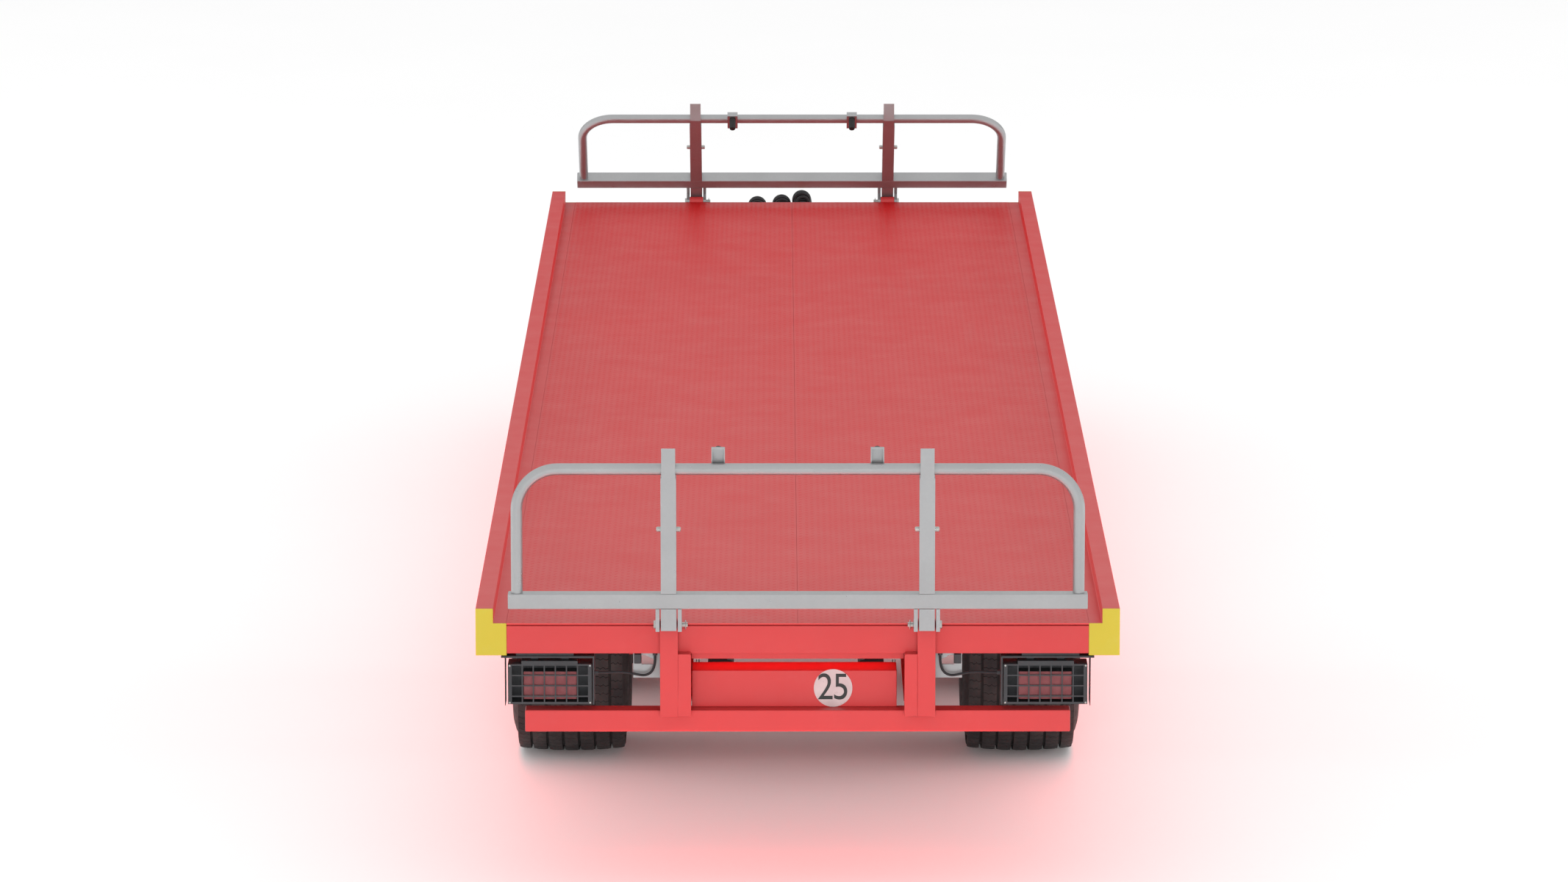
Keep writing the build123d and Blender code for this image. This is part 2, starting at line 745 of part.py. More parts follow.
def drawbar_nodes():
    arm = drawbar_bar(True)
    return {
        "drawbar_arm_right": [arm],
        "drawbar_arm_left": [mirrored(arm)],
        "drawbar_plates": [*both_sides(drawbar_mount()), drawbar_crossbar()],
        "drawbar_head": [drawbar_head()],
        "towing_eye": [towing_eye(), eye_nut()],
        "hose_fittings": hose_fittings(),
        "hose_holder": [hose_holder()],
        "coupling_heads": coupling_heads(),
        "parking_leg_sleeve": [leg_sleeve(), leg_plunger()],
        "parking_leg": parking_leg(),
    }


def bed_nodes():
    rail, sheet, beam = side_rail(), deck_sheet(), end_beam()
    rear_post = rack_post(rear_post_bottom)
    front_post = Pos(0, deck_length, 0) * mirror(rack_post(front_post_bottom), about=Plane.XZ)
    return {
        "main_beams": [main_beam(beam_x), main_beam(-beam_x)],
        "cross_members": cross_members(),
        "side_rail_right": [rail],
        "side_rail_left": [mirrored(rail)],
        "corner_caps": corner_caps(),
        "deck_sheet_right": [sheet],
        "deck_sheet_left": [mirrored(sheet)],
        "rear_end_beam": [beam],
        "front_end_beam": [Pos(0, deck_length, 0) * mirror(beam, about=Plane.XZ)],
        "rear_posts": both_sides(rear_post, bumper_support()),
        "front_posts": both_sides(front_post),
        "rear_bumper": [rear_bumper()],
        "tail_crossbar": [tail_crossbar()],
        "speed_disc": [speed_disc()],
        "wiring_plates": both_sides(wiring_plate()),
        "lamp_brackets": both_sides(lamp_bracket()),
        "lamp_housings": both_sides(lamp_housing()),
        "lamp_guards": both_sides(lamp_guard()),
        "lamp_units": both_sides(lamp_unit()),
        "cable_glands": cable_glands(),
    }


def bogie_nodes():
    half = axle_spread / 2
    rear, front = bogie_y - half, bogie_y + half
    return {
        "bogie_hangers": both_sides(*hanger()),
        "bogie_shaft": [pivot_shaft()],
        "bogie_rockers": both_sides(rocker()),
        "axle_rear": [axle(rear)],
        "axle_front": [axle(front)],
        "axle_clamps": both_sides(*axle_clamp(rear), *axle_clamp(front)),
        "brake_gear": both_sides(*brake_gear(rear, -1), *brake_gear(front, 1)),
    }


def wheel_nodes():
    nodes = {}
    for end, along in (("rear", -1), ("front", 1)):
        for hand, side in (("left", -1), ("right", 1)):
            y = bogie_y + along * axle_spread / 2
            nodes[f"tyre_{end}_{hand}"] = [tyre(side, y)]
            nodes[f"wheel_{end}_{hand}"] = [wheel_rim(side, y), *wheel_hub(side, y)]
    return nodes


def cord_nodes():
    cable = bent_tube("lamp_cable", cable_route, cable_radius)
    nodes = {"lamp_cable_right": [cable], "lamp_cable_left": [mirrored(cable)]}
    for name in hose_routes:
        nodes[f"curly_hose_{name}"] = [bent_tube(f"curly_hose_{name}", hose_points(name), coil_radius)]
    return nodes


os.makedirs("parts", exist_ok=True)
rack = rack_nodes()
nodes = bed_nodes() | bogie_nodes() | wheel_nodes() | drawbar_nodes() | cord_nodes()
nodes |= {f"rear_rack_{name}": shapes for name, shapes in rack.items()}
nodes |= {f"front_rack_{name}": [at_front(shape) for shape in shapes] for name, shapes in rack.items()}
for node, shapes in nodes.items():
    save(node, shapes)
print(len(nodes), "nodes")
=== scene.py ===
import json
import math

import bmesh
import bpy
import numpy as np
from mathutils import Matrix, Vector


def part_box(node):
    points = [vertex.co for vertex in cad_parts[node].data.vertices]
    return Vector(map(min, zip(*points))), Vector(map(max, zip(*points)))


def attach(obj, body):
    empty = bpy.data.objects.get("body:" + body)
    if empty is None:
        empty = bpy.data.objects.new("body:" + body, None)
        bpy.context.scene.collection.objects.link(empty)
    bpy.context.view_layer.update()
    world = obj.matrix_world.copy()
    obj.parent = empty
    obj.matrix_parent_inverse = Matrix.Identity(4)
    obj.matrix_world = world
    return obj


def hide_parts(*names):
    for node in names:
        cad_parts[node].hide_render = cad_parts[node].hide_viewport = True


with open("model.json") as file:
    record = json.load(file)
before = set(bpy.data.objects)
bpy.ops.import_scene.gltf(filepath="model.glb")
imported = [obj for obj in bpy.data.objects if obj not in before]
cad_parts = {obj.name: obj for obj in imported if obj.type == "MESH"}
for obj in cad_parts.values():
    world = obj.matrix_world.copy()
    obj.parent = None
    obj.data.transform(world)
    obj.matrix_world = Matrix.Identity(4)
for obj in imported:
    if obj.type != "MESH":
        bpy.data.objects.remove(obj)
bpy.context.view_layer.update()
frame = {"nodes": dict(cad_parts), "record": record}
cad = frame["nodes"]
bodies = frame["record"]["behaviour"]["bodies"]
body_of = {node: body for body, members in bodies.items() for node in members}

rear_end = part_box("deck_sheet_left")[0].y
front_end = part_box("deck_sheet_left")[1].y
deck_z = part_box("deck_sheet_left")[1].z


# ---------- camera and light ----------
def look(obj, pitch_down, yaw_right):
    """Turn a camera or lamp to look along +Y, tipped down and turned right by these degrees."""
    obj.rotation_euler = (math.radians(90 - pitch_down), 0, math.radians(-yaw_right))


camera_across = -0.0855
camera_back = 27.63
camera_rise = 6.227
camera_pitch = 11.27
camera_yaw = 0.067
focal_length = 167.6
camera = bpy.data.objects.new("camera", bpy.data.cameras.new("camera"))
bpy.context.scene.collection.objects.link(camera)
camera.location = (camera_across, rear_end - camera_back, deck_z + camera_rise)
look(camera, camera_pitch, camera_yaw)
camera.data.lens = focal_length
camera.data.clip_end = 500
bpy.context.scene.camera = camera
bpy.context.scene.view_settings.view_transform = "Standard"


def set_range(node, low, high, to_low, to_high):
    """Set the two ranges of a Map Range node."""
    for label, number in zip(("From Min", "From Max", "To Min", "To Max"), (low, high, to_low, to_high)):
        node.inputs[label].default_value = number


def studio_world():
    """White light from all round, half as strong low down ahead of the trailer."""
    world = bpy.data.worlds.new("studio")
    world.use_nodes = True
    tree = world.node_tree
    background = tree.nodes["Background"]
    place = tree.nodes.new("ShaderNodeTexCoord")
    parts = tree.nodes.new("ShaderNodeSeparateXYZ")
    rise = tree.nodes.new("ShaderNodeMapRange")
    ahead = tree.nodes.new("ShaderNodeMapRange")
    both = tree.nodes.new("ShaderNodeMath")
    strength = tree.nodes.new("ShaderNodeMapRange")
    both.operation = "MULTIPLY"
    tree.links.new(place.outputs["Generated"], parts.inputs["Vector"])
    tree.links.new(parts.outputs["Z"], rise.inputs["Value"])
    tree.links.new(parts.outputs["Y"], ahead.inputs["Value"])
    set_range(rise, 0.11, 0.36, 1, 0)
    set_range(ahead, 0.1, 0.7, 0, 1)
    set_range(strength, 0, 1, 0.985, 0.50)
    tree.links.new(rise.outputs["Result"], both.inputs[0])
    tree.links.new(ahead.outputs["Result"], both.inputs[1])
    tree.links.new(both.outputs["Value"], strength.inputs["Value"])
    tree.links.new(strength.outputs["Result"], background.inputs["Strength"])
    background.inputs["Color"].default_value = (1, 1, 1, 1)
    bpy.context.scene.world = world


studio_world()


def soft_light(name, location, size, power, pitch_down, yaw_right, colour=(1, 1, 1)):
    """A flat soft light: it lights the surfaces but isn't seen itself, nor mirrored in metal."""
    lamp = bpy.data.lights.new(name, "AREA")
    lamp.shape = "RECTANGLE"
    lamp.size, lamp.size_y = size
    lamp.energy = power
    lamp.color = colour
    obj = bpy.data.objects.new(name, lamp)
    bpy.context.scene.collection.objects.link(obj)
    obj.location = location
    obj.visible_camera = False
    obj.visible_glossy = False
    look(obj, pitch_down, yaw_right)


soft_light("rear_softbox", (0, -46, 4.5), (22, 8), 11500, 4, 0)
soft_light("left_softbox", (-26, -1, 4), (20, 7), 3500, 6, 90)
soft_light("right_softbox", (26, -1, 4), (20, 7), 3500, 6, -90)
bounce_red = (1.0, 0.05, 0.05)
soft_light("left_bounce", (-1.30, -0.3, 1.0), (8.0, 0.25), 52, 50, -90, bounce_red)
soft_light("right_bounce", (1.30, -0.3, 1.0), (8.0, 0.25), 52, 50, 90, bounce_red)
soft_light("tail_bounce", (0, -5.95, 0.70), (1.7, 0.2), 18, 80, 0, bounce_red)
soft_light("crossbar_bounce", (-0.013, rear_end + 0.13, deck_z - 0.13), (0.78, 0.12), 1.0, 90, 0,
           bounce_red)
soft_light("under_fill", (0, -4.3, 0.62), (1.1, 1.6), 0.7, 90, 0)


# ---------- materials ----------
class Shader:
    """A Principled material with short helpers for its node tree."""

    def __init__(self, name, **sockets):
        self.material = bpy.data.materials.new(name)
        self.material.use_nodes = True
        self.tree = self.material.node_tree
        self.bsdf = self.tree.nodes["Principled BSDF"]
        coordinates = self.tree.nodes.new("ShaderNodeTexCoord")
        self.place = coordinates.outputs["Object"]
        for label, value in sockets.items():
            self.bsdf.inputs[label.replace("_", " ")].default_value = value

    def node(self, kind, **settings):
        node = self.tree.nodes.new(kind)
        for key, value in settings.items():
            setattr(node, key, value)
        return node

    def link(self, source, target):
        self.tree.links.new(source, target)

    def noise(self, scale, detail=4.0, rough=0.55, stretch=(1, 1, 1)):
        mapping = self.node("ShaderNodeMapping")
        mapping.inputs["Scale"].default_value = stretch
        self.link(self.place, mapping.inputs["Vector"])
        noise = self.node("ShaderNodeTexNoise")
        noise.inputs["Scale"].default_value = scale
        noise.inputs["Detail"].default_value = detail
        noise.inputs["Roughness"].default_value = rough
        self.link(mapping.outputs["Vector"], noise.inputs["Vector"])
        return noise.outputs["Fac"]

    def cells(self, scale):
        """Distance from the nearest of many scattered points."""
        cells = self.node("ShaderNodeTexVoronoi")
        cells.inputs["Scale"].default_value = scale
        self.link(self.place, cells.inputs["Vector"])
        return cells.outputs["Distance"]

    def spread(self, value, low, high, to_low=0.0, to_high=1.0):
        """Remap a value from one range to another, clamped."""
        node = self.node("ShaderNodeMapRange")
        set_range(node, low, high, to_low, to_high)
        self.link(value, node.inputs["Value"])
        return node.outputs["Result"]

    def product(self, first, second):
        node = self.node("ShaderNodeMath", operation="MULTIPLY")
        self.link(first, node.inputs[0])
        self.link(second, node.inputs[1])
        return node.outputs["Value"]

    def mix(self, factor, first, second):
        node = self.node("ShaderNodeMix", data_type="RGBA")
        self.link(factor, node.inputs["Factor"])
        for socket, value in ((node.inputs[6], first), (node.inputs[7], second)):
            if isinstance(value, tuple):
                socket.default_value = (*value, 1)
            else:
                self.link(value, socket)
        return node.outputs[2]

    def colour(self, source):
        self.link(source, self.bsdf.inputs["Base Color"])

    def roughness(self, source):
        self.link(source, self.bsdf.inputs["Roughness"])

    def bump(self, *layers):
        """Layers of (height source, strength, distance in metres), one on the other."""
        normal = None
        for height, strength, distance in layers:
            bump = self.node("ShaderNodeBump")
            bump.inputs["Strength"].default_value = strength
            bump.inputs["Distance"].default_value = distance
            self.link(height, bump.inputs["Height"])
            if normal is not None:
                self.link(normal, bump.inputs["Normal"])
            normal = bump.outputs["Normal"]
        self.link(normal, self.bsdf.inputs["Normal"])


def paint(name, colour, dusty, roughness=0.34, coat=0.35):
    """Sprayed paint: orange peel, faint clouding and dust in patches."""
    s = Shader(name, Coat_Weight=coat, Coat_Roughness=0.16)
    clouds = s.spread(s.noise(1.7, 3), 0.35, 0.7)
    darker = tuple(c * 0.94 for c in colour)
    tone = s.mix(clouds, darker, colour)
    dust = s.spread(s.product(s.noise(5.5, 6, 0.65), s.noise(38, 3)), 0.26, 0.44, 0, 0.16)
    s.colour(s.mix(dust, tone, dusty))
    s.roughness(s.spread(s.noise(9, 5), 0.3, 0.75, roughness - 0.06, roughness + 0.12))
    s.bump((s.noise(260, 2), 0.06, 0.0004), (s.noise(26, 2), 0.05, 0.0012))
    return s.material


def galvanised(name, colour=(0.38, 0.385, 0.39), roughness=0.34):
    """Hot-dip zinc: spangle of slightly different greys, soft runs and a fine grain."""
    s = Shader(name, Metallic=0.8)
    flakes = s.spread(s.cells(70), 0.0, 0.9)
    patches = s.spread(s.noise(6, 5, 0.6), 0.3, 0.7)
    tone = s.mix(patches, tuple(c * 0.93 for c in colour), tuple(c * 1.03 for c in colour))
    tone = s.mix(s.spread(flakes, 0.1, 0.8, 0.0, 0.18), tone, tuple(c * 0.86 for c in colour))
    s.colour(tone)
    s.roughness(s.spread(s.noise(24, 6, 0.6), 0.3, 0.7, roughness - 0.07, roughness + 0.12))
    s.bump((s.noise(420, 3), 0.10, 0.0003), (s.noise(11, 3), 0.07, 0.002))
    return s.material


def rubber(name, colour, roughness=0.62, dust=0.12):
    """Black rubber with a fine pore grain and a little dry dust."""
    s = Shader(name, Specular_IOR_Level=0.28)
    patches = s.spread(s.noise(7, 6, 0.62), 0.42, 0.72, 0, dust)
    s.colour(s.mix(patches, colour, (0.16, 0.14, 0.125)))
    s.roughness(s.spread(s.noise(30, 4), 0.3, 0.7, roughness - 0.08, roughness + 0.10))
    s.bump((s.noise(900, 2), 0.16, 0.0003), (s.noise(90, 3), 0.07, 0.0006))
    return s.material


def moulded(name, colour, roughness=0.5):
    """Moulded plastic with a leather-like grain."""
    s = Shader(name)
    s.colour(s.mix(s.spread(s.noise(12, 4), 0.35, 0.7), tuple(c * 0.8 for c in colour), colour))
    s.roughness(s.spread(s.noise(40, 4), 0.3, 0.7, roughness - 0.07, roughness + 0.08))
    s.bump((s.cells(900), 0.12, 0.0003))
    return s.material


def machined(name, colour, roughness=0.3):
    """Bare metal with a fine grain and oily patches."""
    s = Shader(name, Metallic=1.0)
    patches = s.spread(s.noise(14, 5, 0.65), 0.35, 0.7)
    s.colour(s.mix(patches, tuple(c * 0.7 for c in colour), colour))
    s.roughness(s.spread(s.noise(45, 5), 0.3, 0.7, roughness - 0.08, roughness + 0.16))
    s.bump((s.noise(500, 2, 0.5), 0.12, 0.0002))
    return s.material


def bed_paint(name, front_tone, rear_sheen):
    """Paint of the bed's top: a little flatter, paler to the rear with a painted sheen of the bright
    surroundings, with scuffs that run along it.
    """
    s = Shader(name, Specular_IOR_Level=0.22)
    across = s.node("ShaderNodeSeparateXYZ")
    s.link(s.place, across.inputs["Vector"])
    # Painted sheen: the colour grows paler from the front end to the rear end, standing in for the
    # reflected light of the surroundings.
    sheen_ramp = s.spread(across.outputs["Y"], front_end, rear_end)
    tone = s.mix(sheen_ramp, front_tone, rear_sheen)
    clouds = s.spread(s.noise(0.9, 4), 0.3, 0.7, 0, 0.12)
    tone = s.mix(clouds, tone, (0.38, 0.010, 0.011))
    scuffs = s.spread(s.noise(14, 5, 0.7, (1, 0.06, 1)), 0.55, 0.75, 0, 0.20)
    s.colour(s.mix(scuffs, tone, (0.46, 0.08, 0.075)))
    s.roughness(s.spread(s.noise(5, 6, 0.6), 0.3, 0.7, 0.42, 0.50))
    s.bump((s.noise(240, 2), 0.08, 0.0004))
    return s.material


red = paint("red_paint", (0.44, 0.032, 0.033), (0.43, 0.055, 0.053), coat=0.0, roughness=0.38)
yellow = paint("yellow_paint", (0.43, 0.34, 0.022), (0.43, 0.36, 0.10), coat=0.0, roughness=0.38)
rim_silver = paint("rim_silver", (0.40, 0.41, 0.42), (0.34, 0.31, 0.28), roughness=0.36)
chassis_black = paint("chassis_black", (0.022, 0.022, 0.024), (0.10, 0.09, 0.08), roughness=0.42,
                      coat=0.1)
# The second colour of each is the rear end's, paler with painted sheen.
deck_red = bed_paint("deck_paint", (0.52, 0.004, 0.005), (0.54, 0.058, 0.057))
rail_red = bed_paint("rail_paint", (0.53, 0.010, 0.011), (0.53, 0.062, 0.061))
zinc = galvanised("galvanised_steel")
zinc_dark = galvanised("zinc_plated_bolts", (0.46, 0.46, 0.44), 0.30)
tyre_rubber = rubber("tyre_rubber", (0.013, 0.013, 0.0135))
buffer_rubber = rubber("buffer_rubber", (0.012, 0.012, 0.012), 0.5, 0.05)
hose_black = rubber("hose_polyamide", (0.014, 0.014, 0.016), 0.40, 0.04)
black = moulded("black_plastic", (0.030, 0.031, 0.034))
white_sheet = moulded("reflective_white", (0.49, 0.37, 0.37), 0.32)
ink = moulded("printed_black", (0.02, 0.02, 0.02), 0.45)
oiled_steel = machined("oiled_steel", (0.34, 0.33, 0.32))
brass = machined("turned_brass", (0.62, 0.43, 0.17))
cast_red = paint("coupling_red", (0.62, 0.02, 0.02), (0.5, 0.2, 0.18), roughness=0.45, coat=0.0)
cast_yellow = paint("coupling_yellow", (0.72, 0.50, 0.03), (0.6, 0.5, 0.2), roughness=0.45, coat=0.0)


def lens_material():
    """Red lamp plastic that lets the shapes behind it show."""
    s = Shader("lamp_lens", Roughness=0.3, Specular_IOR_Level=0.3)
    s.colour(s.mix(s.spread(s.noise(30, 3), 0.3, 0.7), (0.22, 0.060, 0.065), (0.26, 0.080, 0.085)))
    s.bsdf.inputs["Alpha"].default_value = 0.72
    return s.material


lens_red = lens_material()
reflector = galvanised("lamp_reflector", (0.80, 0.62, 0.63), 0.22)


# ---------- mesh helpers ----------
def smooth(obj, angle=35):
    for polygon in obj.data.polygons:
        polygon.use_smooth = True
    obj.data.set_sharp_from_angle(angle=math.radians(angle))


def add_piece(name, mesh, material, body, angle=35):
    obj = bpy.data.objects.new(name, mesh)
    bpy.context.scene.collection.objects.link(obj)
    obj.data.materials.clear()
    obj.data.materials.append(material)
    smooth(obj, angle)
    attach(obj, body)
    return obj


def from_arrays(name, vertices, faces, material, body, angle=35):
    mesh = bpy.data.meshes.new(name)
    mesh.from_pydata([tuple(v) for v in vertices], [], [tuple(f) for f in faces])
    mesh.update()
    return add_piece(name, mesh, material, body, angle)


def from_bmesh(name, bm, material, body, angle=35):
    bmesh.ops.recalc_face_normals(bm, faces=bm.faces)
    mesh = bpy.data.meshes.new(name)
    bm.to_mesh(mesh)
    bm.free()
    return add_piece(name, mesh, material, body, angle)


def cleaned(node):
    """A node's mesh as a bmesh, with its flat faces joined up again."""
    bm = bmesh.new()
    bm.from_mesh(cad[node].data)
    bmesh.ops.remove_doubles(bm, verts=bm.verts, dist=2e-6)
    bmesh.ops.dissolve_limit(bm, angle_limit=math.radians(0.6), verts=bm.verts, edges=bm.edges)
    return bm


def bevelled(obj, width):
    """Round every sharp edge of a piece, and keep its flats flat."""
    modifier = obj.modifiers.new("rounding", "BEVEL")
    modifier.width = width
    modifier.segments = 2
    modifier.limit_method = "ANGLE"
    modifier.angle_limit = math.radians(40)
    modifier.harden_normals = True
    modifier.use_clamp_overlap = True
    bpy.context.view_layer.update()
    graph = bpy.context.evaluated_depsgraph_get()
    mesh = bpy.data.meshes.new_from_object(obj.evaluated_get(graph), preserve_all_data_layers=True,
                                           depsgraph=graph)
    obj.modifiers.clear()
    obj.data = mesh


def rounded(node, material, width):
    """Stand a copy with rounded edges in for a CAD node."""
    obj = from_bmesh(node + "_rounded", cleaned(node), material, body_of[node])
    bevelled(obj, width)
    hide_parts(node)


def paint_node(node, material):
    """Give a carried CAD node its material."""
    mesh = cad[node].data
    mesh.materials.clear()
    mesh.materials.append(material)
    smooth(cad[node])


def basis(direction):
    """Two unit vectors square to a direction and to each other."""
    along = Vector(direction).normalized()
    side = along.cross(Vector((0, 0, 1)))
    if side.length < 1e-4:
        side = along.cross(Vector((1, 0, 0)))
    side.normalize()
    return side, along.cross(side)


def lathe(bm, start, direction, profile, segments=32):
    """Turn a profile of (along, radius) points about an axis into a bmesh."""
    start, along = Vector(start), Vector(direction).normalized()
    u, v = basis(along)
    rings = []
    for distance, radius in profile:
        centre = start + along * distance
        if radius < 1e-6:
            rings.append([bm.verts.new(centre)])
            continue
        ring = []
        for index in range(segments):
            angle = 2 * math.pi * index / segments
            ring.append(bm.verts.new(centre + (u * math.cos(angle) + v * math.sin(angle)) * radius))
        rings.append(ring)
    for near, far in zip(rings, rings[1:]):
        for index in range(segments):
            after = (index + 1) % segments
            corners = [near[index % len(near)], near[after % len(near)], far[after % len(far)],
                       far[index % len(far)]]
            unique = list(dict.fromkeys(corners))
            if len(unique) > 2:
                bm.faces.new(unique)
    for ring in (rings[0], rings[-1]):
        if len(ring) > 1:
            bm.faces.new(ring)


def block(bm, low, high):
    """Box between two corners, added to a bmesh."""
    low, high = Vector(low), Vector(high)
    middle, size = (low + high) / 2, high - low
    place = Matrix.Translation(middle) @ Matrix.Diagonal((*size, 1))
    bmesh.ops.create_cube(bm, size=1.0, matrix=place)


# ---------- cords ----------
def from_rear(x, y, z):
    """Point given in metres across, ahead of the deck's rear end, and above the deck."""
    return Vector((x, rear_end + y, deck_z + z))


def from_front(x, y, z):
    return Vector((x, front_end + y, deck_z + z))


def nurbs(name, points, radius=0.0):
    """Curve of one NURBS spline with these control points."""
    curve = bpy.data.curves.new(name, "CURVE")
    curve.dimensions = "3D"
    curve.resolution_u = 12
    curve.bevel_depth = radius
    curve.bevel_resolution = 5
    curve.use_fill_caps = True
    spline = curve.splines.new("NURBS")
    spline.points.add(len(points) - 1)
    for slot, point in zip(spline.points, points):
        slot.co = (*point, 1)
    spline.order_u = 3
    spline.use_endpoint_u = True
    obj = bpy.data.objects.new(name, curve)
    bpy.context.scene.collection.objects.link(obj)
    return obj


def line_points(obj):
    """The smooth line of a curve with no bevel, as points."""
    bpy.context.view_layer.update()
    evaluated = obj.evaluated_get(bpy.context.evaluated_depsgraph_get())
    mesh = bpy.data.meshes.new_from_object(evaluated)
    points = [vertex.co.copy() for vertex in mesh.vertices]
    bpy.data.meshes.remove(mesh)
    return points


def length_of(points):
    return sum((b - a).length for a, b in zip(points, points[1:]))


cable_route = [
    (0.776, 0.045, -0.206),
    (0.738, 0.045, -0.206),
    (0.700, 0.043, -0.203),
    (0.660, 0.041, -0.205),
    (0.622, 0.038, -0.213),
    (0.594, 0.035, -0.216),
    (0.568, 0.032, -0.203),
    (0.554, 0.030, -0.170),
    (0.554, 0.030, -0.133),
]
for hand, sign in (("left", -1), ("right", 1)):
    route = [from_rear(sign * x, y, z) for x, y, z in cable_route]
    bare = nurbs("bare_line", route)
    real_length = length_of(line_points(bare))
    bpy.data.objects.remove(bare)
    cable = nurbs(f"lamp_cable_{hand}_sheath", route, 0.005)
    cable.data.materials.append(hose_black)
    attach(cable, "chassis")
    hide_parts(f"lamp_cable_{hand}")

hose_routes = {
    "red": [(-0.182, 0.050, -0.066), (-0.182, 0.095, -0.066), (-0.182, 0.212, -0.044),
            (-0.178, 0.376, -0.094), (-0.176, 0.508, -0.216), (-0.176, 0.588, -0.359)],
    "yellow": [(-0.054, 0.050, -0.053), (-0.054, 0.095, -0.053), (-0.054, 0.212, -0.035),
               (-0.053, 0.377, -0.086), (-0.052, 0.508, -0.207), (-0.052, 0.588, -0.350)],
    "light": [(0.050, 0.050, -0.033), (0.050, 0.095, -0.033), (0.050, 0.212, -0.011),
              (0.058, 0.378, -0.066), (0.064, 0.512, -0.192), (0.064, 0.592, -0.335)],
}
hose_radius = 0.006
coil_radius = 0.050 - hose_radius
coil_turns = 22
turn_points = 14
tail = 0.030
lead = 0.070
lead_turns = 0.9
lead_points = 16
coil_phase_step = 1.3
hose_end_run = Vector((0, 0.080, -0.143)).normalized()
holder_reach = 0.655


def along_line(points, distance):
    """Point and direction at a distance along a line."""
    for a, b in zip(points, points[1:]):
        step = (b - a).length
        if distance <= step or b is points[-1]:
            return a + (b - a) * min(distance / step, 1), (b - a).normalized()
        distance -= step


def winding(whole):
    """Steps of (distance, turns, openness): both ends have a straight tail and a lead that opens out."""
    def opening(u):
        return tail + lead * u, lead_turns * u ** 3, u * u * (3 - 2 * u)

    start = [(0, 0, 0), (tail / 2, 0, 0)]
    start += [opening(index / lead_points) for index in range(lead_points)]
    count = coil_turns * turn_points
    before = tail + lead
    coil = [(before + (whole - 2 * before) * index / count, lead_turns + coil_turns * index / count, 1)
            for index in range(count + 1)]
    end = [(whole - distance, 2 * lead_turns + coil_turns - turns, open_by)
           for distance, turns, open_by in reversed(start)]
    return start + coil + end


def helix(points, phase):
    """Turns wound about a line; they start and end straight, on the line itself."""
    side = Vector((1, 0, 0))
    wound = []
    for distance, turns, open_by in winding(length_of(points)):
        place, along = along_line(points, distance)
        side = (side - along * side.dot(along)).normalized()
        lift = along.cross(side)
        angle = phase + 2 * math.pi * turns
        wound.append(place + (side * math.cos(angle) + lift * math.sin(angle)) * coil_radius * open_by)
    return wound


def coupling_profile(kind, length):
    """Turned outline of a coupling head or plug, as (along, radius)."""
    if kind == "light":
        ribs = []
        for rib in range(6):
            start, crest = 0.016 + rib * 0.0045, 0.019 + rib * 0.0008
            ribs += [(start, crest), (start + 0.003, crest), (start + 0.0032, 0.0178)]
        return [(0, 0.008), (0.002, 0.014), (0.014, 0.016), *ribs, (length - 0.024, 0.0265),
                (length - 0.008, 0.028), (length - 0.006, 0.025), (length, 0.025)]
    return [(0, 0.009), (0.002, 0.013), (0.012, 0.013), (0.013, 0.0155), (0.022, 0.0155), (0.024, 0.022),
            (length - 0.026, 0.029), (length - 0.010, 0.030), (length - 0.007, 0.027), (length, 0.027)]


def coupling(kind, start, material):
    """The head at a curly hose's lower end, parked on the holder."""
    length = holder_reach - (start - Vector((0, front_end, deck_z))).dot(hose_end_run)
    bm = bmesh.new()
    lathe(bm, start, hose_end_run, coupling_profile(kind, length - 0.0006), 40)
    if kind != "light":
        u, v = basis(hose_end_run)
        palm = start + hose_end_run * (length - 0.018)
        for angle in (0.4, 0.4 + math.pi):
            arm = u * math.cos(angle) + v * math.sin(angle)
            knob = [(0, 0.008), (0.014, 0.008), (0.016, 0.0065), (0.0165, 0.0)]
            lathe(bm, palm + arm * 0.018, arm, knob, 20)
    obj = from_bmesh(f"coupling_{kind}", bm, material, "chassis", 30)
    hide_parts("coupling_heads")
    return obj


hose_heads = {"red": cast_red, "yellow": cast_yellow, "light": black}
for index, (kind, offsets) in enumerate(hose_routes.items()):
    route = [from_front(*offset) for offset in offsets]
    centre_line = nurbs("hose_line", route)
    centre_points = line_points(centre_line)
    bpy.data.objects.remove(centre_line)
    wound = helix(centre_points, index * coil_phase_step)
    bare = nurbs("bare_line", wound)
    real_length = length_of(line_points(bare))
    bpy.data.objects.remove(bare)
    hose = nurbs(f"curly_hose_{kind}_coil", wound, hose_radius)
    hose.data.resolution_u = 3
    hose.data.bevel_resolution = 3
    hose.data.materials.append(hose_black)
    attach(hose, "chassis")
    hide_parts(f"curly_hose_{kind}")
    head = coupling(kind, route[-1], hose_heads[kind])


# ---------- steel frame: rounded copies of the CAD nodes ----------
for node in ("side_rail_left", "side_rail_right"):
    rounded(node, rail_red, 0.003)
for node in ("rear_end_beam", "front_end_beam", "rear_posts", "front_posts"):
    rounded(node, red, 0.0022)
for node in ("rear_bumper", "tail_crossbar", "drawbar_plates", "drawbar_head", "drawbar_arm_left",
             "drawbar_arm_right", "bogie_rockers"):
    rounded(node, red, 0.004)
for node in ("parking_leg_sleeve", "bogie_hangers", "axle_rear", "axle_front"):
    rounded(node, red, 0.0025)
for node in ("main_beams", "cross_members"):
    rounded(node, red, 0.0018)
rounded("corner_caps", yellow, 0.0015)
for end in ("rear", "front"):
    rounded(f"{end}_rack_beam", zinc, 0.004)
    rounded(f"{end}_rack_posts", zinc, 0.0022)
    paint_node(f"{end}_rack_hoop", zinc)
    paint_node(f"{end}_rack_fasteners", zinc_dark)
